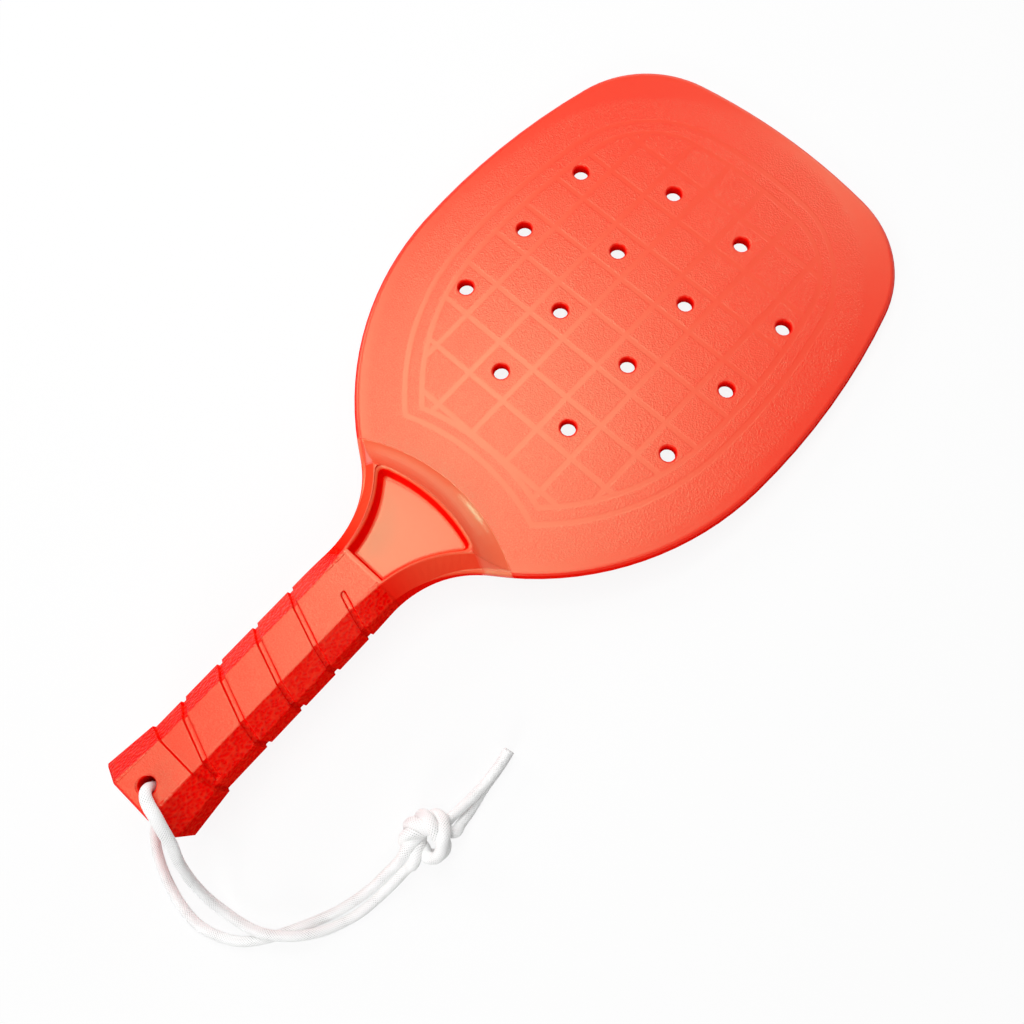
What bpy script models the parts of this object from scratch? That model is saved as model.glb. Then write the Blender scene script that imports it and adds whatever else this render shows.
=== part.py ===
"""Paddleball paddle: one plastic moulding with a braided wrist cord.

The moulding is drawn in its own frame: x across, y from the butt end to the tip, and z
up from the middle plane, about which front and back are alike. An empty then tilts it
to how it lies on a table. Units are metres.
"""

import math

import bmesh
import bpy
import numpy as np
from mathutils import Matrix, Vector

# Outline of the moulding, seen from the front
OVERALL_LENGTH = 0.4086
BLADE_WIDTH = 0.1997
WIDEST_BELOW_TIP = 0.12245
TIP_RADIUS = 0.2800
SHOULDER_RADIUS = 0.0525
SIDE_RADIUS = 0.3176
SIDE_ARC_BELOW_WIDEST = math.radians(4.0)
LOWER_RADIUS = 0.1363
NECK_RADIUS = 0.0490

# Blade
BLADE_THICKNESS = 0.0059
EDGE_ROUND_REACH = 0.0026
EDGE_FLAT_HALF_HEIGHT = 0.0003
EDGE_FADE_PAST_NECK = 0.0147
EDGE_FADE_PAST_COVE = 0.0764
HOLE_PITCH_ACROSS = 0.0400
HOLE_PITCH_ALONG = 0.0396
HOLE_FIELD_BELOW_TIP = 0.1380
HOLE_MOUTH_DIAMETER = 0.0085
HOLE_THROAT_DIAMETER = 0.0068
HOLE_LIP_DEPTH = 0.0013

# Handle, an octagon with flat sides
HANDLE_WIDTH = 0.0352
HANDLE_THICKNESS_AT_COLLAR = 0.0362
HANDLE_THICKNESS_AT_RECESS = 0.0311
HANDLE_FLAT_WIDTH = 0.0181
HANDLE_SIDE_HEIGHT = 0.0178
HANDLE_END_BELOW_TIP = 0.3040
OCTAGON_ROUNDING = 0.0012

# Butt, flared below a collar
COLLAR_FROM_BUTT = 0.0226
COLLAR_STEP = 0.0011
COLLAR_CHAMFER = 0.0006
BUTT_FLARE = 0.0021
BUTT_END_CHAMFER = 0.0009
LANYARD_HOLE_DIAMETER = 0.0072
LANYARD_HOLE_FROM_BUTT = 0.0084
LANYARD_LIP = 0.0008

# Raised neck frame with its recess, and the cove that runs down to the blade
FRAME_THICKNESS = 0.0196
FRAME_SHOULDER_RUN = 0.0070
SIDE_FALL_LENGTH = 0.0500
COVE_FOOT_RADIUS = 0.0888
COVE_FOOT_BELOW_TIP = 0.2296
COVE_RUN = 0.0104
COVE_FOOT_SLOPE = math.radians(16.0)
COVE_SPREAD = math.radians(84.0)
RIM_WIDTH = 0.0014
RECESS_DEPTH = 0.0068
RECESS_END_PAST_HANDLE = 0.0228
RECESS_SIDE_DRAFT_RUN = 0.0012
RECESS_END_DRAFT_RUN = 0.0004
RECESS_CORNER_RADIUS = 0.0030
RECESS_FLOOR_ROUNDING = 0.0010

# Moulded spiral groove of the grip
GROOVE_PITCH = 0.0202
GROOVE_WIDTH = 0.0028
GROOVE_FLOOR_WIDTH = 0.0018
GROOVE_DEPTH = 0.0011
GROOVE_FRONT_SLOPE = 0.33
GROOVE_START_BESIDE_MIDDLE = 0.0026
GROOVE_START_PAST_HANDLE = 0.0079
GROOVE_END_ABOVE_COLLAR = 0.0050
GROOVE_LAST_FACET_SHARE = 0.86
GROOVE_CUT_ABOVE = 0.0012

# Wrist cord, a limp round braid
CORD_DIAMETER = 0.0042
TOUCHING_GAP = 0.0003
CORD_ABOVE_TABLE = 0.0001
STRAND_SPACING = 0.0105
HELD_SPACING = 0.0026
KNOT_SPACING = 0.0016
END_RUN = 0.0008

# The cord at the lanyard hole: along it and up from under the hole, then along it and up
# from the hole's front mouth, then in the room until it leaves the butt
HEADING_OVER_BUTT = Vector((0.87, -0.49, 0.0))
UNDER_HOLE_ROUTE = [(-0.0074, 0.0), (-0.0044, 0.0001), (-0.0023, 0.0011), (-0.0011, 0.0032)]
HOLE_WAY_IN_RISE = 0.0060
HOLE_WAY_OUT_DROP = 0.0030
OUT_OF_HOLE_ROUTE = [(0.0012, -0.0002), (0.0023, 0.0022), (0.0045, 0.0034)]
OVER_BUTT_ROUTE = [(0.0067, -0.1971, 0.0495), (0.0116, -0.1984, 0.0490), (0.0167, -0.2010, 0.0456)]

# Doubled overhand knot, where the braid is squeezed thinner
KNOT_CORD_DIAMETER = 0.0031
KNOT_SQUEEZE_LENGTH = 0.0035
KNOT_WRAP_RADIUS = 0.0083
KNOT_SWING = 0.0029
KNOT_RISE = 0.0048
KNOT_TILT = math.radians(23.0)
KNOT_WRAP_SWEEP = math.radians(540.0)
KNOT_TWIST = math.radians(900.0)
KNOT_SLOW_SWEEP = math.radians(118.0)
KNOT_SLOW_TWIST = math.radians(58.0)
KNOT_STRAND_PHASE = math.radians(45.5)
KNOT_STATIONS = 36
KNOT_LEAD = 0.0018
KNOT_MOUTH_SHARE = 0.86
KNOT_PLACE = Vector((0.0936, -0.1401, 0.0094))
KNOT_HEADING = math.radians(79.0)

# Routes of the cord on the table: from the butt to the knot, and from the knot to the cut ends
FRONT_STRAND_ROUTE = [
    (0.0214, -0.2040, 0.0405), (0.0260, -0.2087, 0.0330), (0.0304, -0.2129, 0.0245),
    (0.0353, -0.2163, 0.0165), (0.0415, -0.2184, 0.0100), (0.0485, -0.2188, 0.0058),
    (0.0567, -0.2178, 0.0041), (0.0637, -0.2154, 0.0051), (0.0699, -0.2116, 0.0068),
    (0.0751, -0.2074, 0.0070), (0.0794, -0.2032, 0.0063), (0.0826, -0.1993, 0.0050),
    (0.0857, -0.1945, 0.0032), (0.0886, -0.1880, 0.0022), (0.0907, -0.1819, 0.0022),
    (0.0918, -0.1759, 0.0026), (0.0926, -0.1696, 0.0037), (0.0933, -0.1621, 0.0060),
    (0.0938, -0.1536, 0.0094),
]
BACK_STRAND_ROUTE = [
    (0.0003, -0.2076, 0.0022), (0.0008, -0.2126, 0.0022), (0.0033, -0.2178, 0.0022),
    (0.0086, -0.2221, 0.0022), (0.0149, -0.2254, 0.0022), (0.0208, -0.2277, 0.0022),
    (0.0271, -0.2295, 0.0022), (0.0338, -0.2308, 0.0022), (0.0404, -0.2313, 0.0022),
    (0.0467, -0.2307, 0.0022), (0.0529, -0.2287, 0.0022), (0.0588, -0.2257, 0.0022),
    (0.0631, -0.2225, 0.0022), (0.0668, -0.2183, 0.0022), (0.0702, -0.2136, 0.0022),
    (0.0735, -0.2078, 0.0022), (0.0764, -0.2026, 0.0022), (0.0790, -0.1975, 0.0022),
    (0.0813, -0.1927, 0.0022), (0.0836, -0.1871, 0.0022), (0.0855, -0.1812, 0.0022),
    (0.0870, -0.1749, 0.0027), (0.0880, -0.1686, 0.0039), (0.0886, -0.1616, 0.0063),
    (0.0891, -0.1531, 0.0096),
]
LOWER_TAIL_ROUTE = [
    (0.0979, -0.1270, 0.0065), (0.0973, -0.1220, 0.0043), (0.0963, -0.1166, 0.0028),
    (0.0951, -0.1101, 0.0022), (0.0944, -0.1026, 0.0022), (0.0936, -0.0966, 0.0022),
    (0.0927, -0.0919, 0.0022),
]
UPPER_TAIL_ROUTE = [
    (0.0934, -0.1264, 0.0085), (0.0938, -0.1216, 0.0085), (0.0942, -0.1161, 0.0077),
    (0.0943, -0.1101, 0.0069), (0.0940, -0.1026, 0.0067), (0.0934, -0.0966, 0.0067),
    (0.0925, -0.0922, 0.0067),
]

CUT_MARGIN = 0.004
SLICE_SLACK = 0.00003
ARC_STEP = math.radians(4.0)


def clear_scene():
    for thing in list(bpy.data.objects):
        bpy.data.objects.remove(thing, do_unlink=True)


def principled(name, colour, roughness):
    material = bpy.data.materials.new(name)
    material.use_nodes = True
    shader = material.node_tree.nodes["Principled BSDF"]
    shader.inputs["Base Color"].default_value = (*colour, 1.0)
    shader.inputs["Roughness"].default_value = roughness
    shader.inputs["Metallic"].default_value = 0.0
    material.diffuse_color = (*colour, 1.0)
    return material


def object_from(name, vertices, faces, material=None):
    mesh = bpy.data.meshes.new(name)
    mesh.from_pydata([tuple(v) for v in vertices], [], faces)
    mesh.validate()
    shaper = bmesh.new()
    shaper.from_mesh(mesh)
    bmesh.ops.recalc_face_normals(shaper, faces=shaper.faces)
    if shaper.calc_volume(signed=True) < 0:
        bmesh.ops.reverse_faces(shaper, faces=shaper.faces)
    shaper.to_mesh(mesh)
    shaper.free()
    made = bpy.data.objects.new(name, mesh)
    bpy.context.scene.collection.objects.link(made)
    if material:
        mesh.materials.append(material)
    return made


def arc(centre, radius, start, end, step=ARC_STEP):
    """Points of an arc from one bearing to the other, in radians from +x."""
    count = max(1, round(abs(end - start) / step))
    bearings = [start + (end - start) * i / count for i in range(count + 1)]
    return [Vector((centre.x + radius * math.cos(b), centre.y + radius * math.sin(b))) for b in bearings]


def meeting_of_circles(centre_a, radius_a, centre_b, radius_b, side):
    """Where two circles cross, to the left (side 1) or right (side -1) of the way from a to b."""
    apart = centre_b - centre_a
    distance = apart.length
    along = (distance ** 2 + radius_a ** 2 - radius_b ** 2) / (2 * distance)
    off = math.sqrt(max(radius_a ** 2 - along ** 2, 0.0))
    forward = apart / distance
    return centre_a + forward * along + Vector((-forward.y, forward.x)) * off * side


def bearing(centre, point):
    return math.atan2(point.y - centre.y, point.x - centre.x)


BLADE_HALF = BLADE_THICKNESS / 2

# Centres of the outline's arcs, for the right half
TIP_CENTRE = Vector((0.0, OVERALL_LENGTH - TIP_RADIUS))
SIDE_CENTRE = Vector((BLADE_WIDTH / 2 - SIDE_RADIUS, OVERALL_LENGTH - WIDEST_BELOW_TIP))
SHOULDER_CENTRE = meeting_of_circles(
    TIP_CENTRE, TIP_RADIUS - SHOULDER_RADIUS, SIDE_CENTRE, SIDE_RADIUS - SHOULDER_RADIUS, -1
)
LOWER_CENTRE = SIDE_CENTRE + (SIDE_RADIUS - LOWER_RADIUS) * Vector(
    (math.cos(SIDE_ARC_BELOW_WIDEST), -math.sin(SIDE_ARC_BELOW_WIDEST))
)
NECK_CENTRE_X = HANDLE_WIDTH / 2 + NECK_RADIUS
NECK_CENTRE = Vector((
    NECK_CENTRE_X,
    LOWER_CENTRE.y - math.sqrt((LOWER_RADIUS + NECK_RADIUS) ** 2 - (NECK_CENTRE_X - LOWER_CENTRE.x) ** 2),
))
COVE_CENTRE = Vector((0.0, OVERALL_LENGTH - COVE_FOOT_BELOW_TIP - COVE_FOOT_RADIUS))

# Where the handle proper ends, and the two ends of the recess in the neck
HANDLE_END = OVERALL_LENGTH - HANDLE_END_BELOW_TIP
RECESS_START = HANDLE_END + RECESS_END_PAST_HANDLE
RECESS_TOP = COVE_CENTRE.y + COVE_FOOT_RADIUS - COVE_RUN - RIM_WIDTH


# Where the neck's side fades into the blade's rounded edge
EDGE_FADE = (NECK_CENTRE.y + EDGE_FADE_PAST_NECK, COVE_CENTRE.y + EDGE_FADE_PAST_COVE)


def outline_rail():
    """Right half of the outline from the butt end to beside the tip: points with their bearings outward."""
    rail = []
    handle_stations = [
        0.0, BUTT_END_CHAMFER, LANYARD_HOLE_FROM_BUTT, COLLAR_FROM_BUTT,
        COLLAR_FROM_BUTT + COLLAR_CHAMFER,
    ]
    middle_stations = np.linspace(COLLAR_FROM_BUTT + COLLAR_CHAMFER, HANDLE_END, 6)[1:]
    neck_stations = np.linspace(HANDLE_END, RECESS_START, 8)[1:]
    for y in [*handle_stations, *middle_stations, *neck_stations]:
        if y < NECK_CENTRE.y - 0.002:
            rail.append((Vector((HANDLE_WIDTH / 2, y)), 0.0))
    lower_meets_neck = bearing(LOWER_CENTRE, NECK_CENTRE)
    neck_sweep = math.pi + lower_meets_neck
    for point in arc(NECK_CENTRE, NECK_RADIUS, math.pi, neck_sweep, math.radians(3.5)):
        rail.append((point, bearing(point, NECK_CENTRE)))
    lower_meets_side = -SIDE_ARC_BELOW_WIDEST
    for point in arc(LOWER_CENTRE, LOWER_RADIUS, lower_meets_neck, lower_meets_side, math.radians(3.0))[1:]:
        rail.append((point, bearing(LOWER_CENTRE, point)))
    side_meets_shoulder = bearing(SIDE_CENTRE, SHOULDER_CENTRE)
    for point in arc(SIDE_CENTRE, SIDE_RADIUS, lower_meets_side, side_meets_shoulder, math.radians(2.4))[1:]:
        rail.append((point, bearing(SIDE_CENTRE, point)))
    shoulder_meets_tip = bearing(TIP_CENTRE, SHOULDER_CENTRE)
    for point in arc(SHOULDER_CENTRE, SHOULDER_RADIUS, side_meets_shoulder, shoulder_meets_tip)[1:]:
        rail.append((point, bearing(SHOULDER_CENTRE, point)))
    tip_step = (math.pi / 2 - shoulder_meets_tip) / 5.5
    for i in range(1, 6):
        b = shoulder_meets_tip + tip_step * i
        rail.append((TIP_CENTRE + TIP_RADIUS * Vector((math.cos(b), math.sin(b))), b))
    return rail


def smooth(value, start, end):
    share = min(max((value - start) / (end - start), 0.0), 1.0)
    return share * share * (3 - 2 * share)


def butt_growth(y):
    """How far the butt stands out past the handle's octagon."""
    if y > COLLAR_FROM_BUTT + COLLAR_CHAMFER / 2:
        return 0.0
    growth = COLLAR_STEP + BUTT_FLARE * (1 - y / COLLAR_FROM_BUTT)
    if y < BUTT_END_CHAMFER:
        growth -= BUTT_END_CHAMFER - y
    return growth


def crest_line(y):
    """Height of the neck's crest, which falls from the end of the handle's front to the cove."""
    start, end = HANDLE_THICKNESS_AT_RECESS / 2, FRAME_THICKNESS / 2
    return start + (end - start) * (y - RECESS_START) / (RECESS_TOP - RECESS_START)


def half_thickness(y):
    """Half the thickness of the handle, or of the neck past it."""
    if y > RECESS_START:
        return crest_line(min(y, RECESS_TOP))
    share = max((y - COLLAR_FROM_BUTT) / (RECESS_START - COLLAR_FROM_BUTT), 0.0)
    return (HANDLE_THICKNESS_AT_COLLAR + share * (HANDLE_THICKNESS_AT_RECESS - HANDLE_THICKNESS_AT_COLLAR)) / 2


FACET_ANGLE = math.atan2(
    half_thickness(HANDLE_END) - HANDLE_SIDE_HEIGHT / 2, (HANDLE_WIDTH - HANDLE_FLAT_WIDTH) / 2
)


def section(y):
    """Growth outward, side height, facet run and top height of the moulding at a station."""
    growth = butt_growth(y)
    side_growth = growth * math.tan((math.pi / 2 - FACET_ANGLE) / 2)
    side = HANDLE_SIDE_HEIGHT / 2 + side_growth
    side += smooth(y, HANDLE_END, HANDLE_END + SIDE_FALL_LENGTH) * (BLADE_HALF - side)
    top = half_thickness(y) + growth
    run = (HANDLE_WIDTH - HANDLE_FLAT_WIDTH) / 2 + growth * (1 - math.tan(FACET_ANGLE / 2))
    run += smooth(y, HANDLE_END, RECESS_START) * (FRAME_SHOULDER_RUN - run)
    return growth, side, run, top


def rounded_corner(before, corner, after, radius, count=2):
    """Points of a rounding of a corner in a plane, with count segments."""
    to_before = (before - corner).normalized()
    to_after = (after - corner).normalized()
    half = math.acos(max(-1.0, min(1.0, to_before.dot(to_after)))) / 2
    reach = min(radius / math.tan(half), 0.45 * (before - corner).length, 0.45 * (after - corner).length)
    start, end = corner + to_before * reach, corner + to_after * reach
    points = []
    for i in range(count + 1):
        share = i / count
        points.append((1 - share) ** 2 * start + 2 * share * (1 - share) * corner + share ** 2 * end)
    return points


def half_profile(y):
    """Edge profile from the side to the crest at a station: steps inward and heights.

    Along the handle and neck it is a side, a facet and the crest. On towards the blade the
    side and the facet's foot turn into the blade's rounded edge.
    """
    _, side, run, top = section(y)
    middle, low, crest, inside = Vector((0, 0)), Vector((0, side)), Vector((run, top)), Vector((2 * run, top))
    neck = rounded_corner(middle, low, crest, OCTAGON_ROUNDING, 4)
    share = smooth(y, *EDGE_FADE)
    points = []
    for i, point in enumerate(neck):
        turn = math.pi / 2 * i / 4
        z = EDGE_FLAT_HALF_HEIGHT + (BLADE_HALF + SLICE_SLACK - EDGE_FLAT_HALF_HEIGHT) * math.sin(turn)
        points.append(point.lerp(Vector((EDGE_ROUND_REACH * (1 - math.cos(turn)), z)), share))
    return points + rounded_corner(low, crest, inside, OCTAGON_ROUNDING)


def moulding_body(material):
    """Lofts the whole outline at the height of the neck frame; cutters bring the blade down."""
    vertices, faces, columns = [], [], []
    for point, outward in outline_rail():
        growth = butt_growth(point.y)
        front = half_profile(point.y)
        profile = [(p.x, -p.y) for p in reversed(front)] + [(p.x, p.y) for p in front]
        direction = Vector((math.cos(outward), math.sin(outward)))
        right, left = [], []
        for step_in, z in profile:
            place = point + direction * (growth - step_in)
            right.append(len(vertices))
            vertices.append((place.x, place.y, z))
            left.append(len(vertices))
            vertices.append((-place.x, place.y, z))
        columns.append((right, left))
    for (right, left), (next_right, next_left) in zip(columns, columns[1:]):
        for column, following in ((right, next_right), (left, next_left)):
            for i in range(len(column) - 1):
                faces.append((column[i], column[i + 1], following[i + 1], following[i]))
        for i in (0, -1):
            faces.append((right[i], next_right[i], next_left[i], left[i]))
    first_right, first_left = columns[0]
    faces.append((*first_right, *reversed(first_left)))
    last_right, last_left = columns[-1]
    for i in range(len(last_right) - 1):
        faces.append((last_right[i], last_right[i + 1], last_left[i + 1], last_left[i]))
    return object_from("paddle_moulding", vertices, faces, material)


def loops_to_solid(name, loops):
    """A closed solid through loops of as many points each, capped at both ends."""
    count = len(loops[0])
    vertices = [point for loop in loops for point in loop]
    faces = []
    for k in range(len(loops) - 1):
        for i in range(count):
            j = (i + 1) % count
            faces.append((k * count + i, k * count + j, (k + 1) * count + j, (k + 1) * count + i))
    faces.append(tuple(range(count)))
    last = (len(loops) - 1) * count
    faces.append(tuple(last + i for i in range(count)))
    return object_from(name, vertices, faces)


def with_mirror_in_z(solid):
    """Joins a cutter with its copy on the other face of the moulding."""
    mesh = solid.data
    shaper = bmesh.new()
    shaper.from_mesh(mesh)
    copy = bmesh.ops.duplicate(shaper, geom=shaper.verts[:] + shaper.edges[:] + shaper.faces[:])
    for element in copy["geom"]:
        if isinstance(element, bmesh.types.BMVert):
            element.co.z = -element.co.z
    copied_faces = [e for e in copy["geom"] if isinstance(e, bmesh.types.BMFace)]
    bmesh.ops.reverse_faces(shaper, faces=copied_faces)
    shaper.to_mesh(mesh)
    shaper.free()
    return solid


def cove_cutter():
    """Sector of a turned profile: its floor is the blade's face and its inner wall the cove."""
    rise = FRAME_THICKNESS / 2 - BLADE_HALF
    crest_slope = 2 * math.atan2(rise, COVE_RUN) - COVE_FOOT_SLOPE
    cove_radius = COVE_RUN / (math.sin(crest_slope) - math.sin(COVE_FOOT_SLOPE))
    profile = []
    steps = 8
    for i in range(steps + 1):
        turn = COVE_FOOT_SLOPE + (crest_slope - COVE_FOOT_SLOPE) * i / steps
        profile.append((COVE_FOOT_RADIUS - cove_radius * (math.sin(turn) - math.sin(COVE_FOOT_SLOPE)),
                        BLADE_HALF + cove_radius * (math.cos(COVE_FOOT_SLOPE) - math.cos(turn))))
    slope = (math.cos(crest_slope), math.sin(crest_slope))
    profile.append((profile[-1][0] - CUT_MARGIN * slope[0], profile[-1][1] + CUT_MARGIN * slope[1]))
    far = OVERALL_LENGTH
    profile.append((far, profile[-1][1]))
    profile.append((far, BLADE_HALF))
    loops = []
    count = 48
    for i in range(count + 1):
        b = math.pi / 2 + COVE_SPREAD * (1 - 2 * i / count)
        loops.append([
            (COVE_CENTRE.x + r * math.cos(b), COVE_CENTRE.y + r * math.sin(b), z) for r, z in profile
        ])
    return with_mirror_in_z(loops_to_solid("cut_blade_faces", loops))


def recess_outline(inset, end_inset):
    """Fan-shaped outline of the recess, inset from its mouth at the sides and at the handle's end."""
    mouth = FRAME_SHOULDER_RUN + RIM_WIDTH
    side_radius = NECK_RADIUS + mouth + inset
    top_radius = COVE_FOOT_RADIUS - COVE_RUN - RIM_WIDTH - inset
    end_y = RECESS_START + end_inset
    corner = meeting_of_circles(COVE_CENTRE, top_radius, NECK_CENTRE, side_radius, 1)
    low_x = NECK_CENTRE.x - math.sqrt(side_radius ** 2 - (end_y - NECK_CENTRE.y) ** 2)
    steps = 10
    low_bearing = bearing(NECK_CENTRE, Vector((low_x, end_y))) % (2 * math.pi)
    high_bearing = bearing(NECK_CENTRE, corner) % (2 * math.pi)
    corner_radius = RECESS_CORNER_RADIUS - inset / 2
    turn = corner_radius / side_radius * 1.6
    side = []
    for i in range(steps):
        b = low_bearing + (high_bearing + turn - low_bearing) * i / (steps - 1)
        side.append(NECK_CENTRE + side_radius * Vector((math.cos(b), math.sin(b))))
    trim = corner_radius / top_radius * 1.6
    from_bearing = bearing(COVE_CENTRE, corner) + trim
    top = []
    for i in range(steps):
        b = from_bearing + (math.pi - 2 * from_bearing) * i / (steps - 1)
        top.append(COVE_CENTRE + top_radius * Vector((math.cos(b), math.sin(b))))
    knee = [(1 - s) ** 2 * side[-1] + 2 * s * (1 - s) * corner + s ** 2 * top[0] for s in (0.25, 0.5, 0.75)]
    right = side + knee
    left = [Vector((-p.x, p.y)) for p in reversed(right)]
    return right + top + left


def recess_cutter():
    """Drafted pocket below the crest, with a rounded floor edge and a rounded rim."""
    side_run, end_run, rounding = RECESS_SIDE_DRAFT_RUN, RECESS_END_DRAFT_RUN, RECESS_FLOOR_ROUNDING
    levels = [
        (side_run + rounding, end_run + rounding, -RECESS_DEPTH),
        (side_run + 0.3 * rounding, end_run + 0.3 * rounding, 0.3 * rounding - RECESS_DEPTH),
        (side_run, end_run, rounding - RECESS_DEPTH),
        (0.0, 0.0, -0.6 * RIM_WIDTH),
        (-0.25 * RIM_WIDTH, -0.1 * RIM_WIDTH, -0.2 * RIM_WIDTH),
        (-0.8 * RIM_WIDTH, -0.3 * RIM_WIDTH, 0.05 * RIM_WIDTH),
        (-0.9 * RIM_WIDTH, -0.35 * RIM_WIDTH, CUT_MARGIN),
    ]
    loops = [
        [(p.x, p.y, crest_line(p.y) + rise) for p in recess_outline(inset, end)] for inset, end, rise in levels
    ]
    return with_mirror_in_z(loops_to_solid("cut_neck_recess", loops))


def turned_cutter(profile, places, segments, name):
    """Cutters turned about lines along z, one at each place."""
    vertices, faces = [], []
    for x, y in places:
        start = len(vertices)
        for radius, z in profile:
            for i in range(segments):
                b = 2 * math.pi * (i + 0.5) / segments
                vertices.append((x + radius * math.cos(b), y + radius * math.sin(b), z))
        for k in range(len(profile) - 1):
            for i in range(segments):
                j = (i + 1) % segments
                low, high = start + k * segments, start + (k + 1) * segments
                faces.append((low + i, low + j, high + j, high + i))
        faces.append(tuple(start + i for i in range(segments)))
        last = start + (len(profile) - 1) * segments
        faces.append(tuple(last + i for i in range(segments)))
    return object_from(name, vertices, faces)


def hole_places():
    """Fourteen air holes in four staggered columns."""
    places = []
    base = OVERALL_LENGTH - HOLE_FIELD_BELOW_TIP
    for column, rows in ((0.5, (-1.0, 0.0, 1.0, 2.0)), (1.5, (-0.5, 0.5, 1.5))):
        for row in rows:
            for side in (-1, 1):
                places.append((side * column * HOLE_PITCH_ACROSS, base + row * HOLE_PITCH_ALONG))
    return places


def both_ways(profile):
    """Profile of radii and heights from the middle plane up, continued below it."""
    return [(r, -z) for r, z in reversed(profile)] + profile


def air_hole_cutter():
    mouth, throat = HOLE_MOUTH_DIAMETER / 2, HOLE_THROAT_DIAMETER / 2
    profile = [
        (throat, BLADE_HALF - HOLE_LIP_DEPTH),
        (throat + 0.3 * (mouth - throat), BLADE_HALF - 0.35 * HOLE_LIP_DEPTH),
        (mouth, BLADE_HALF),
        (mouth, BLADE_HALF + CUT_MARGIN),
    ]
    return turned_cutter(both_ways(profile), hole_places(), 16, "cut_air_holes")


def lanyard_cutter():
    radius = LANYARD_HOLE_DIAMETER / 2
    _, _, _, mouth = section(LANYARD_HOLE_FROM_BUTT)
    profile = [
        (radius, mouth - LANYARD_LIP),
        (radius + 0.3 * LANYARD_LIP, mouth - 0.3 * LANYARD_LIP),
        (radius + LANYARD_LIP, mouth),
        (radius + LANYARD_LIP, mouth + CUT_MARGIN),
    ]
    return turned_cutter(both_ways(profile), [(0.0, LANYARD_HOLE_FROM_BUTT)], 20, "cut_lanyard_hole")


def octagon_place(turn, grow, y):
    """A place on the handle's octagon by eighths of a turn from the front's left edge, clockwise.

    0 to 1 is the front flat from left to right, 1 to 2 the right front facet, 2 to 3 the
    right side, 3 to 4 the right back facet, and so on round to the front's left edge.
    """
    _, side, run, top = section(y)
    flat = HANDLE_WIDTH / 2 - run + grow * math.tan(FACET_ANGLE / 2)
    wide = HANDLE_WIDTH / 2 + grow
    side += grow * math.tan((math.pi / 2 - FACET_ANGLE) / 2)
    top += grow
    corners = [
        (-flat, top), (flat, top), (wide, side), (wide, -side),
        (flat, -top), (-flat, -top), (-wide, -side), (-wide, side),
    ]
    index = int(math.floor(turn)) % 8
    share = turn - math.floor(turn)
    a, b = corners[index], corners[(index + 1) % 8]
    return a[0] + share * (b[0] - a[0]), a[1] + share * (b[1] - a[1])


def groove_cutter():
    """Spiral round the octagon: sloping on front and back, level on the sides."""
    facet = (HANDLE_WIDTH - HANDLE_FLAT_WIDTH) / 2
    front_fall = GROOVE_FRONT_SLOPE * HANDLE_WIDTH
    back_slope = (GROOVE_PITCH - front_fall) / HANDLE_WIDTH
    fall_by_eighth = [
        GROOVE_FRONT_SLOPE * HANDLE_FLAT_WIDTH, GROOVE_FRONT_SLOPE * facet, 0.0, back_slope * facet,
        back_slope * HANDLE_FLAT_WIDTH, back_slope * facet, 0.0, GROOVE_FRONT_SLOPE * facet,
    ]
    steps_by_eighth = [4, 2, 1, 2, 4, 2, 1, 2]
    start_turn = 0.5 + GROOVE_START_BESIDE_MIDDLE / HANDLE_FLAT_WIDTH
    turn, y = start_turn, HANDLE_END + GROOVE_START_PAST_HANDLE
    stations = [(turn, y)]
    end_y = COLLAR_FROM_BUTT + GROOVE_END_ABOVE_COLLAR
    while True:
        eighth = int(math.floor(turn + 1e-9))
        on_corner = turn - eighth < 1e-6
        if on_corner and eighth % 8 == 1 and y - GROOVE_PITCH < end_y:
            break
        step = min(1.0 / steps_by_eighth[eighth % 8], eighth + 1 - turn)
        turn += step
        y -= fall_by_eighth[eighth % 8] * step
        stations.append((turn, y))
    stations.append((turn + GROOVE_LAST_FACET_SHARE, y - fall_by_eighth[1] * GROOVE_LAST_FACET_SHARE))
    run_in = GROOVE_WIDTH / 2 / HANDLE_FLAT_WIDTH
    slope_in = GROOVE_FRONT_SLOPE * GROOVE_WIDTH / 2
    first_turn, first_y = stations[0]
    ends = [
        (first_turn - run_in * back, first_y + slope_in * back, math.sqrt(1 - back ** 2))
        for back in (0.92, 0.7, 0.4)
    ]
    rings = ends + [(turn, y, 1.0) for turn, y in stations]
    loops = []
    for turn, y, wide in rings:
        half, floor_half = wide * GROOVE_WIDTH / 2, wide * GROOVE_FLOOR_WIDTH / 2
        slant = (GROOVE_WIDTH - GROOVE_FLOOR_WIDTH) / 2 / GROOVE_DEPTH
        outer = wide * (GROOVE_WIDTH / 2 + slant * GROOVE_CUT_ABOVE)
        loop = []
        for grow, offset in ((GROOVE_CUT_ABOVE, outer), (-GROOVE_DEPTH, floor_half),
                             (-GROOVE_DEPTH, -floor_half), (GROOVE_CUT_ABOVE, -outer)):
            x, z = octagon_place(turn, grow, y + offset)
            loop.append((x, y + offset, z))
        loops.append(loop)
    return loops_to_solid("cut_grip_groove", loops)


def cut(body, cutter):
    cutter.hide_render = True
    cutter.display_type = "WIRE"
    modifier = body.modifiers.new(cutter.name, "BOOLEAN")
    modifier.operation = "DIFFERENCE"
    modifier.solver = "EXACT"
    modifier.object = cutter


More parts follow.
